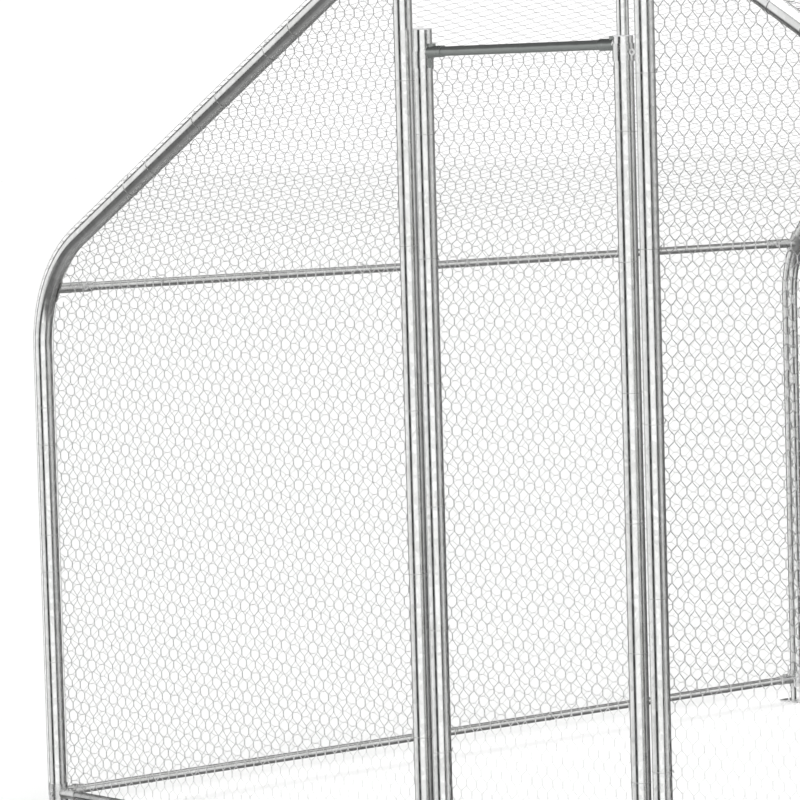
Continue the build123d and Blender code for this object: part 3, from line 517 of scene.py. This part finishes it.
    # the sheet bellies a little away from the tubes between its edges
    rng = np.random.default_rng(seed + 100)
    waves = sum(np.sin(all_u / s + p1) * np.sin(all_v / s * 0.83 + p2) for s, p1, p2 in zip((95.0, 140.0, 61.0), rng.uniform(0, 6, 3), rng.uniform(0, 6, 3)))
    fade = np.clip(depth(all_u, all_v) / 160.0, 0, 1)
    belly = bulge * fade * (0.55 + 0.22 * waves)
    centre = place(all_u, all_v, all_w + belly)
    e = 0.5
    eu = (place(all_u + e, all_v, all_w + belly) - place(all_u - e, all_v, all_w + belly)) / (2 * e)
    ev = (place(all_u, all_v + e, all_w + belly) - place(all_u, all_v - e, all_w + belly)) / (2 * e)
    en = normal(all_u, all_v)
    tangent = eu * all_du[:, None] + ev * all_dv[:, None] + en * all_dw[:, None]
    lead = all_u if split == "u" else all_v
    mid = 0.5 * (lead[links[:, 0]] + lead[links[:, 1]])
    cuts = np.quantile(mid, np.linspace(0, 1, parts + 1))
    made = []
    for i in range(parts):
        sel = (mid >= cuts[i]) & ((mid < cuts[i + 1]) if i < parts - 1 else (mid <= cuts[i + 1]))
        piece = wire_mesh(name if parts == 1 else f"{name}_{i + 1}", centre * MM, tangent, en, wire_r * MM, links[sel], tone=tone)
        bake_map(piece, *bake_axes)
        finish_piece(piece, body, material, replaced)
        made.append(piece)
    return made


def flat_place(y, way):
    """A gable sheet in the plane at y; w goes along way (+1 into +Y)."""
    def place(u, v, w):
        return np.stack([u, np.full_like(u, y) + way * w, v], -1)

    def normal(u, v):
        n = np.zeros(u.shape + (3,))
        n[..., 1] = way
        return n
    return place, normal


def arc_points(cx, cz, r, a0, a1, n):
    return [(cx + r * math.cos(a0 + (a1 - a0) * i / n), cz + r * math.sin(a0 + (a1 - a0) * i / n)) for i in range(n + 1)]


def gable_outline(s, foot, mid_x):
    """Outline of a front panel, on side s, from the leg to the post."""
    r = EAVE_R - NET_EDGE
    top = APEX_Z - NET_EDGE / CP - mid_x * TP
    pts = [(HALF_W - NET_EDGE, foot)] + arc_points(BEND_X, BEND_Z, r, 0.0, TURN, 8) + [(mid_x, top), (mid_x, foot)]
    return [(s * x, z) for x, z in pts]


front_place, front_normal = flat_place(-HALF_L + NET_OFF, 1)
rear_place, rear_normal = flat_place(HALF_L - NET_OFF, -1)
for label, s, seed in (("front_left_netting", -1, 3), ("front_right_netting", 1, 4)):
    netting(f"{label}_wires", "frame", gable_outline(s, NET_FOOT, POST_X), front_place, front_normal, seed, 3.0, 2, (label,), ((1, 0, 0), (0, 0, 1)), "u",
            GABLE_MESH, 0.82 if s > 0 else 0.76, mat_gable_right if s > 0 else mat_gable_left, NOTCHES)

rear_r = RIDGE_R - NET_EDGE
rear_half = [(HALF_W - NET_EDGE, NET_FOOT)] + arc_points(BEND_X, BEND_Z, EAVE_R - NET_EDGE, 0.0, TURN, 8)
rear_top = arc_points(0, RIDGE_BEND_Z, rear_r, math.pi / 2 - PITCH, math.pi / 2, 4)
rear_outline = rear_half + rear_top + [(-x, z) for x, z in reversed(rear_top[:-1])] + [(-x, z) for x, z in reversed(rear_half)]
netting("rear_netting_wires", "frame", rear_outline, rear_place, rear_normal, 5, 3.0, 3, ("rear_netting",), ((1, 0, 0), (0, 0, 1)), "u",
        GABLE_MESH, 0.60, mat_rear, NOTCHES + RIDGE_NOTCH)

DOOR_LO, DOOR_HI = 80.0 - 7.0, 1422.0 + 7.0
netting("door_netting_wires", "door", [(-STILE_X, DOOR_LO), (STILE_X, DOOR_LO), (STILE_X, DOOR_HI), (-STILE_X, DOOR_HI)],
        front_place, front_normal, 6, 2.0, 1, ("door_netting",), ((1, 0, 0), (0, 0, 1)), "u", GABLE_MESH, 0.76, mat_gable)

# side sheets: u runs up the wall, round the eave, up the roof and over the ridge
WALL = BEND_Z - NET_FOOT
EAVE_ARC = (EAVE_R + NET_OFF) * TURN
SLOPE = HALF_W / CP - EAVE_RUN - RIDGE_RUN
RIDGE_ARC = (RIDGE_R + NET_OFF) * PITCH


def side_place(s):
    def frame_at(u):
        u = np.asarray(u, float)
        x, z, nx, nz = (np.zeros_like(u) for _ in range(4))
        a = u <= WALL
        x[a], z[a], nx[a], nz[a] = HALF_W + NET_OFF, NET_FOOT + u[a], 1.0, 0.0
        b = (u > WALL) & (u <= WALL + EAVE_ARC)
        t = (u[b] - WALL) / (EAVE_R + NET_OFF)
        nx[b], nz[b] = np.cos(t), np.sin(t)
        x[b], z[b] = BEND_X + (EAVE_R + NET_OFF) * nx[b], BEND_Z + (EAVE_R + NET_OFF) * nz[b]
        c = (u > WALL + EAVE_ARC) & (u <= WALL + EAVE_ARC + SLOPE)
        d = u[c] - WALL - EAVE_ARC
        nx[c], nz[c] = SP, CP
        x[c] = BEND_X + (EAVE_R + NET_OFF) * math.cos(TURN) - d * CP
        z[c] = BEND_Z + (EAVE_R + NET_OFF) * math.sin(TURN) + d * SP
        f = u > WALL + EAVE_ARC + SLOPE
        t = PITCH - (u[f] - WALL - EAVE_ARC - SLOPE) / (RIDGE_R + NET_OFF)
        nx[f], nz[f] = np.sin(t), np.cos(t)
        x[f], z[f] = (RIDGE_R + NET_OFF) * nx[f], RIDGE_BEND_Z + (RIDGE_R + NET_OFF) * nz[f]
        return x, z, nx, nz

    def place(u, v, w):
        x, z, nx, nz = frame_at(u)
        return np.stack([s * (x + w * nx), v, z + w * nz], -1)

    def normal(u, v):
        x, z, nx, nz = frame_at(u)
        return np.stack([s * nx, np.zeros_like(nx), nz], -1)
    return place, normal


SHEET_U = WALL + EAVE_ARC + SLOPE + RIDGE_ARC
for label, s, seed in (("left_side_netting", -1, 7), ("right_side_netting", 1, 8)):
    pl, nm = side_place(s)
    edge_y = HALF_L + NET_OVER
    netting(f"{label}_wires", "frame", [(0, -edge_y), (SHEET_U - 1.0, -edge_y), (SHEET_U - 1.0, edge_y), (0, edge_y)],
            pl, nm, seed, 3.0, 4, (label,), ((-0.5 * s, 0, 1), (0, 1, 0)), "u", SIDE_MESH, 0.70, mat_side[s])


# ------------------------------------------------------------------ edge wires and ties
def rope(paths, name, radius, sides, body, material=None):
    """Plain wires along the given polylines, in mm; a closed one repeats its first point."""
    centre, tangent, side, links = [], [], [], []
    base = 0
    for pts in paths:
        p = np.array(pts, float)
        closed = np.linalg.norm(p[0] - p[-1]) < 1e-6
        if closed:
            p = p[:-1]
            t = np.roll(p, -1, 0) - np.roll(p, 1, 0)
        else:
            t = np.gradient(p, axis=0)
        t /= np.linalg.norm(t, axis=1, keepdims=True)
        # carry one side vector along the wire
        ref = np.array([0.31, 0.52, 0.80])
        if abs(ref @ t[0]) > 0.9:
            ref = np.array([0.9, -0.3, 0.1])
        s = np.zeros_like(t)
        cur = ref
        for i in range(len(p)):
            cur = cur - (cur @ t[i]) * t[i]
            cur /= np.linalg.norm(cur)
            s[i] = cur
        n = len(p)
        idx = base + np.arange(n)
        links.append(np.stack([idx[:-1], idx[1:]], 1))
        if closed:
            links.append(np.array([[idx[-1], idx[0]]]))
        centre.append(p); tangent.append(t); side.append(s)
        base += n
    obj = wire_mesh(name, np.concatenate(centre) * MM, np.concatenate(tangent), np.concatenate(side), radius * MM, np.concatenate(links), sides)
    return finish_piece(obj, body, material or mat_wire)


def densify(pts, step):
    out = []
    for a, b in zip(pts[:-1], pts[1:]):
        a, b = np.array(a, float), np.array(b, float)
        n = max(1, int(np.linalg.norm(b - a) / step))
        out += [tuple(a + (b - a) * i / n) for i in range(n)]
    return out + [tuple(pts[-1])]


def border(outline, y, notches=()):
    """Edge wire round an outline, as one closed wire or as the runs left between the notches."""
    pts = [(x, y, z) for x, z in outline]
    if not notches:
        return [densify(pts + pts[:1], 120.0)]
    p = np.array(densify(pts + pts[:1], 6.0)[:-1])
    clear = np.all([np.hypot(p[:, 0] - nx, p[:, 2] - nz) > nr for nx, nz, nr in notches], axis=0)
    first = int(np.flatnonzero(~clear)[0])
    p, clear = np.roll(p, -first, 0), np.roll(clear, -first)
    runs, run = [], []
    for point, ok in zip(p, clear):
        if ok:
            run.append(tuple(point))
        elif run:
            runs.append(run)
            run = []
    if run:
        runs.append(run)
    return [r for r in runs if len(r) > 3]


def tie(centre, axis, out, reach, r, seed, wire=0.45, tail=6.0):
    """A tie wire: round a tube, out to the netting edge, its two ends twisted into a short tail folded along the tube."""
    rng = np.random.default_rng(seed)
    c, a, o = (np.array(x, float) for x in (centre, axis, out))
    a /= np.linalg.norm(a)
    o -= (o @ a) * a
    o /= np.linalg.norm(o)
    q = np.cross(a, o)
    rr = r + wire + 0.12
    opening = math.acos(rr / reach)
    slant = rng.uniform(-1.6, 1.6)
    angs = np.linspace(opening, 2 * math.pi - opening, 22)
    loop = [c + rr * (math.cos(x) * o + math.sin(x) * q) + slant * math.cos(x / 2) * a for x in angs]
    tip = c + o * (reach + 0.5)
    spin = np.linspace(0.0, 1.0, 13)
    fold = rng.choice([-1.0, 1.0]) * a * 0.92 + o * 0.40
    fold /= np.linalg.norm(fold)
    e1 = q
    e2 = np.cross(fold, e1)
    e2 /= np.linalg.norm(e2)
    lead, trail = [], []
    for x in spin:
        turn = 2 * math.pi * 1.6 * x
        wob = 0.5 * (math.cos(turn) * e1 + math.sin(turn) * e2)
        lead.append(tip + fold * (tail * x) + wob)
        trail.append(tip + fold * (tail * x) - wob)
    return trail[::-1] + loop[::-1] + lead if (trail[0] - loop[-1]) @ (trail[0] - loop[-1]) < (trail[0] - loop[0]) @ (trail[0] - loop[0]) else trail[::-1] + loop + lead


EDGE_R = 0.65


def spread(lo, hi, gap):
    """Places between lo and hi, about gap apart, half a gap in from the ends."""
    n = max(1, int(round((hi - lo) / gap)))
    return [lo + (hi - lo) * (i + 0.5) / n for i in range(n)]


def gable_edge_wire(s, inset):
    r = EAVE_R - NET_EDGE - inset
    top = APEX_Z - (NET_EDGE + inset) / CP - (POST_X + inset) * TP
    pts = [(HALF_W - NET_EDGE - inset, NET_FOOT + inset)] + arc_points(BEND_X, BEND_Z, r, 0.0, TURN, 10)
    pts += [(POST_X + inset, top), (POST_X + inset, NET_FOOT + inset)]
    return [(s * x, z) for x, z in pts]


front_net_y, rear_net_y = -HALF_L + NET_OFF, HALF_L - NET_OFF
rear_edge_half = [(HALF_W - NET_EDGE - 1, NET_FOOT + 1)] + arc_points(BEND_X, BEND_Z, EAVE_R - NET_EDGE - 1, 0.0, TURN, 10)
rear_edge_top = arc_points(0, RIDGE_BEND_Z, RIDGE_R - NET_EDGE - 1, math.pi / 2 - PITCH, math.pi / 2, 5)
rear_edge = rear_edge_half + rear_edge_top + [(-x, z) for x, z in reversed(rear_edge_top[:-1])] + [(-x, z) for x, z in reversed(rear_edge_half)]
rope(border(gable_edge_wire(-1, 1.0), front_net_y, NOTCHES) + border(gable_edge_wire(1, 1.0), front_net_y, NOTCHES), "front_netting_edge_wires", EDGE_R, 6, "frame")
rope(border(rear_edge, rear_net_y, NOTCHES + RIDGE_NOTCH), "rear_netting_edge_wires", EDGE_R, 6, "frame")
rope(border([(-STILE_X + 1, DOOR_LO + 1), (STILE_X - 1, DOOR_LO + 1), (STILE_X - 1, DOOR_HI - 1), (-STILE_X + 1, DOOR_HI - 1)], front_net_y),
     "door_netting_edge_wires", EDGE_R, 6, "door")
side_edges = []
for s in (-1, 1):
    pl, nm = side_place(s)
    us = np.concatenate([np.linspace(1, WALL, 9), np.linspace(WALL, WALL + EAVE_ARC, 12)[1:], np.linspace(WALL + EAVE_ARC, WALL + EAVE_ARC + SLOPE, 11)[1:],
                         np.linspace(WALL + EAVE_ARC + SLOPE, SHEET_U - 2, 6)[1:]])
    vs = np.linspace(-HALF_L - NET_OVER + 1, HALF_L + NET_OVER - 1, 18)
    ring = ([pl(np.array([u]), np.array([vs[0]]), np.zeros(1))[0] for u in us] + [pl(np.array([us[-1]]), np.array([v]), np.zeros(1))[0] for v in vs[1:-1]]
            + [pl(np.array([u]), np.array([vs[-1]]), np.zeros(1))[0] for u in us[::-1]] + [pl(np.array([us[0]]), np.array([v]), np.zeros(1))[0] for v in vs[::-1][1:-1]])
    side_edges.append(ring + ring[:1])
rope(side_edges, "side_netting_edge_wires", EDGE_R, 6, "frame")

# tie wires: the gable panels to legs, posts, rafters and rails, the side sheets to arches and rails, the leaf's netting to the leaf
frame_ties, door_ties = [], []
count = 0


def add_tie(box, *args):
    global count
    count += 1
    box.append(tie(*args, seed=4000 + count))


north, south = (0, 1, 0), (0, -1, 0)
gap = 260.0
for s in (-1, 1):
    for y, inward in ((-HALF_L, north), (HALF_L, south)):
        for z in spread(110, BEND_Z - 60, gap):
            add_tie(frame_ties, (s * HALF_W, y, z), (0, 0, 1), (-s * 0.12, inward[1], 0), NET_OFF + 0.2, TUBE_R)
            add_tie(frame_ties, (s * HALF_W, y, z + 70), (0, 0, 1), (s, 0, 0), NET_OFF, TUBE_R)
        for d in spread(EAVE_RUN + 70, HALF_W / CP - RIDGE_RUN - 60, gap):
            c = np.array([s * HALF_W, y, CORNER_Z]) + d * np.array([-s * CP, 0, SP])
            if abs(abs(c[0]) - POST_X) > 45 and abs(abs(c[0]) - STILE_X) > 45 and abs(abs(c[0]) - REAR_POST_X) > 45:
                add_tie(frame_ties, c, (-s * CP, 0, SP), (s * SP, 0, CP), NET_OFF, TUBE_R)
                if y > 0 or abs(c[0]) > POST_X + 30:
                    add_tie(frame_ties, c + 80 * np.array([-s * CP, 0, SP]) * (1 if y > 0 or abs(c[0]) > POST_X + 120 else -1), (-s * CP, 0, SP), (-s * SP * 0.12, inward[1], -CP * 0.12), NET_OFF + 0.2, TUBE_R)
    for z in spread(120, APEX_Z - POST_X * TP - 120, gap):
        add_tie(frame_ties, (s * POST_X, -HALF_L, z), (0, 0, 1), (s * 0.15, 1, 0), NET_OFF + 1, TUBE_R)
    for x in spread(POST_X + 80, HALF_W - 80, gap):
        add_tie(frame_ties, (s * x, -HALF_L, RAIL_Z), (1, 0, 0), (0, 1, -0.36), 20.4, RAIL_R)
    for y in spread(-HALF_L + 90, HALF_L - 90, gap):
        add_tie(frame_ties, (s * HALF_W, y, RAIL_Z), (0, 1, 0), (s, 0, -0.36), 20.4, RAIL_R)
        n = np.array([EAVE_RAIL_X - BEND_X, 0, EAVE_RAIL_Z - BEND_Z])
        add_tie(frame_ties, (s * EAVE_RAIL_X, y + 40, EAVE_RAIL_Z), (0, 1, 0), (s * n[0], 0, n[2]), NET_OFF, RAIL_R)
    for z in spread(150, APEX_Z - REAR_POST_X * TP - 120, gap):
        add_tie(frame_ties, (s * REAR_POST_X, HALF_L, z), (0, 0, 1), (0, -1, 0), NET_OFF, TUBE_R)
    for z in spread(DOOR_LO + 60, DOOR_HI - 40, 220.0):
        add_tie(door_ties, (s * STILE_X, -HALF_L, z), (0, 0, 1), (-s * 0.10, 1, 0), NET_OFF, TUBE_R)
for x in spread(-HALF_W + 80, HALF_W - 80, gap):
    if abs(abs(x) - REAR_POST_X) > 45:
        add_tie(frame_ties, (x, HALF_L, RAIL_Z), (1, 0, 0), (0, -1, -0.36), 20.4, RAIL_R)
for y in spread(-HALF_L + 90, HALF_L - 90, gap):
    add_tie(frame_ties, (0, y, RIDGE_Z), (0, 1, 0), (0, 0, 1), NET_OFF, RAIL_R)
for x in spread(-STILE_X + 60, STILE_X - 60, 120.0):
    add_tie(door_ties, (x, -HALF_L, 80.0), (1, 0, 0), (0, 1, -0.3), NET_OFF + 1, RAIL_R)
rope(frame_ties, "frame_tie_wires", 0.45, 5, "frame", mat_tie)
rope(door_ties, "door_tie_wires", 0.45, 5, "door", mat_tie)


# ------------------------------------------------------------------ floor, light and camera
floor_mesh = bpy.data.meshes.new("floor")
floor_mesh.from_pydata([(-60, -60, 0), (60, -60, 0), (60, 60, 0), (-60, 60, 0)], [], [(0, 1, 2, 3)])
floor = bpy.data.objects.new("floor", floor_mesh)
floor.location.z = -0.0005
scene.collection.objects.link(floor)
fm, fnt, fb = new_material("pale_floor")
fvec = coords(fnt)
fnt.links.new(ramp(fnt, noise(fnt, fvec, 3.0, 6.0), [(0.35, (0.90, 0.905, 0.90, 1)), (0.65, (0.94, 0.94, 0.935, 1))]), fb.inputs["Base Color"])
fb.inputs["Roughness"].default_value = 0.75
fb.inputs["Emission Color"].default_value = (1.0, 1.0, 1.0, 1.0)
# painted light: the floor glows under the pen, a patch of light that washes out the pen's cast shadows
faxes = fnt.nodes.new("ShaderNodeSeparateXYZ")
fnt.links.new(fvec, faxes.inputs["Vector"])


def within(socket, half, soft):
    size = fnt.nodes.new("ShaderNodeMath")
    size.operation = "ABSOLUTE"
    fnt.links.new(socket, size.inputs[0])
    edge = fnt.nodes.new("ShaderNodeMapRange")
    edge.interpolation_type = "SMOOTHSTEP"
    edge.inputs["From Min"].default_value, edge.inputs["From Max"].default_value = half - soft, half
    edge.inputs["To Min"].default_value, edge.inputs["To Max"].default_value = 1.0, 0.0
    fnt.links.new(size.outputs[0], edge.inputs["Value"])
    return edge.outputs["Result"]


painted_light_mask = fnt.nodes.new("ShaderNodeMath")
painted_light_mask.operation = "MULTIPLY"
fnt.links.new(within(faxes.outputs["X"], 1.52, 0.12), painted_light_mask.inputs[0])
fnt.links.new(within(faxes.outputs["Y"], 1.16, 0.12), painted_light_mask.inputs[1])
# painted light: the glow is stronger along the side walls than in the middle, to wash out the walls' shadow
wall_painted_light = fnt.nodes.new("ShaderNodeMapRange")
wall_painted_light.inputs["To Min"].default_value, wall_painted_light.inputs["To Max"].default_value = 0.22, 0.12
fnt.links.new(within(faxes.outputs["X"], 1.22, 0.20), wall_painted_light.inputs["Value"])
level = fnt.nodes.new("ShaderNodeMath")
level.operation = "MULTIPLY_ADD"
fnt.links.new(painted_light_mask.outputs[0], level.inputs[0])
fnt.links.new(wall_painted_light.outputs["Result"], level.inputs[1])
level.inputs[2].default_value = 0.03
fnt.links.new(level.outputs[0], fb.inputs["Emission Strength"])
floor_mesh.materials.append(fm)
floor.visible_glossy = False

world = bpy.data.worlds.new("studio")
scene.world = world
world.use_nodes = True
wnt = world.node_tree
bg = wnt.nodes["Background"]
tc = wnt.nodes.new("ShaderNodeTexCoord")
sep = wnt.nodes.new("ShaderNodeSeparateXYZ")
wnt.links.new(tc.outputs["Generated"], sep.inputs["Vector"])
grad = wnt.nodes.new("ShaderNodeTexGradient")
grad.gradient_type = "RADIAL"
wnt.links.new(tc.outputs["Generated"], grad.inputs["Vector"])


def at(deg):
    """Place on the radial gradient of a direction given as a compass angle from +X towards +Y."""
    return ((deg + 180.0) % 360.0) / 360.0


def world_ramp(src, points):
    """Grey levels along src, given as (place, level)."""
    points = sorted(points)
    node = wnt.nodes.new("ShaderNodeValToRGB")
    cr = node.color_ramp
    cr.elements[0].position, cr.elements[0].color = points[0][0], grey(points[0][1])
    cr.elements[1].position, cr.elements[1].color = points[-1][0], grey(points[-1][1])
    for pos, val in points[1:-1]:
        cr.elements.new(pos).color = grey(val)
    wnt.links.new(src, node.inputs["Fac"])
    return node.outputs["Color"]


# a ring of soft panels with dark gaps between them, dim below and bright above
panels = world_ramp(grad.outputs["Fac"], [
    (at(-180), 0.08), (at(-177), 0.08), (at(-169), 0.90), (at(-111), 0.80), (at(-104), 0.03), (at(-79), 0.03), (at(-72), 1.0), (at(-20), 1.0), (at(-13), 0.02),
    (at(12), 0.02), (at(19), 0.74), (at(36), 0.74), (at(40), 0.95), (at(52), 0.95), (at(62), 0.24), (at(106), 0.24), (at(118), 0.08), (at(179.9), 0.08)])
remap = wnt.nodes.new("ShaderNodeMapRange")
remap.inputs["From Min"].default_value, remap.inputs["From Max"].default_value = -1.0, 1.0
wnt.links.new(sep.outputs["Z"], remap.inputs["Value"])


def rise(deg):
    """Place on the height scale of a direction at an elevation in degrees."""
    return (math.sin(math.radians(deg)) + 1.0) / 2.0


wide = world_ramp(remap.outputs["Result"], [(0.0, 0.0), (rise(-30), 0.0), (rise(-22), 1.0), (rise(30), 1.0), (rise(37), 0.0), (1.0, 0.0)])
high = world_ramp(remap.outputs["Result"], [(0.0, 0.0), (rise(-17), 0.0), (rise(-11), 1.0), (rise(30), 1.0), (rise(37), 0.0), (1.0, 0.0)])
left = world_ramp(grad.outputs["Fac"], [(at(-180), 1.0), (at(-118), 1.0), (at(-108), 0.0), (at(160), 0.0), (at(172), 1.0), (at(179.9), 1.0)])
half = world_ramp(remap.outputs["Result"], [(0.0, 0.0), (rise(-30), 0.0), (rise(-22), 0.32), (rise(-6), 0.32), (rise(0), 1.0), (rise(30), 1.0), (rise(37), 0.0), (1.0, 0.0)])
back = world_ramp(grad.outputs["Fac"], [(0.0, 0.0), (at(37), 0.0), (at(40), 1.0), (at(120), 1.0), (at(140), 0.0), (1.0, 0.0)])
gate = mix_colour(wnt, "MIX", left, mix_colour(wnt, "MIX", back, wide, half), high)
height = world_ramp(remap.outputs["Result"], [(0.0, 0.26), (rise(-66), 0.26), (rise(-52), 0.15), (rise(-30), 0.14), (rise(-20), 0.07), (rise(-12), 0.0), (rise(30), 0.0),
                                              (rise(37), 0.16), (rise(47), 0.16), (rise(54), 1.0), (1.0, 1.0)])
around = mix_colour(wnt, "MULTIPLY", 1.0, panels, gate)
studio = mix_colour(wnt, "ADD", 1.0, around, height)
lp = wnt.nodes.new("ShaderNodeLightPath")
white = wnt.nodes.new("ShaderNodeRGB")
white.outputs[0].default_value = (1, 1, 1, 1)
seen = mix_colour(wnt, "MIX", lp.outputs["Is Camera Ray"], studio, white.outputs[0])
wnt.links.new(seen, bg.inputs["Color"])
bg.inputs["Strength"].default_value = 1.1

sun_data = bpy.data.lights.new("top_soft", "SUN")
sun_data.energy = 1.35
sun_data.angle = math.radians(70)
sun = bpy.data.objects.new("top_soft", sun_data)
sun.rotation_euler = (math.radians(12), math.radians(-10), 0.0)
scene.collection.objects.link(sun)

# a soft fill from the front right, without shadows or reflections of its own
fill_data = bpy.data.lights.new("front_fill", "SUN")
fill_data.energy = 0.9
fill_data.angle = math.radians(60)
fill_data.use_shadow = False
fill = bpy.data.objects.new("front_fill", fill_data)
fill.rotation_euler = Vector((-0.72, 0.64, -0.27)).to_track_quat("-Z", "Y").to_euler()
fill.visible_glossy = False
scene.collection.objects.link(fill)

# camera: position, yaw from +Y towards -X, pitch down, roll, focal length and picture centre in pixels of the 800 px frame
CAM = (5.2394, -5.7227, 1.3492, 0.8674, 0.0705, -0.0281, 4300.3, 400.0, 400.0)
cam_data = bpy.data.cameras.new("camera")
cam = bpy.data.objects.new("camera", cam_data)
scene.collection.objects.link(cam)
yaw, pit, roll = CAM[3:6]
fwd = Vector((-math.sin(yaw) * math.cos(pit), math.cos(yaw) * math.cos(pit), -math.sin(pit)))
right = Vector((math.cos(yaw), math.sin(yaw), 0.0))
up = right.cross(fwd)
right2 = math.cos(roll) * right + math.sin(roll) * up
up2 = -math.sin(roll) * right + math.cos(roll) * up
cam.matrix_world = Matrix.Translation(CAM[:3]) @ Matrix((right2, up2, -fwd)).transposed().to_4x4()
cam_data.sensor_width = 36.0
cam_data.lens = CAM[6] / 800.0 * 36.0
cam_data.shift_x = (400.0 - CAM[7]) / 800.0
cam_data.shift_y = (CAM[8] - 400.0) / 800.0
cam_data.clip_start, cam_data.clip_end = 0.1, 200.0
scene.camera = cam
scene.view_settings.view_transform = "Standard"
scene.view_settings.look = "None"
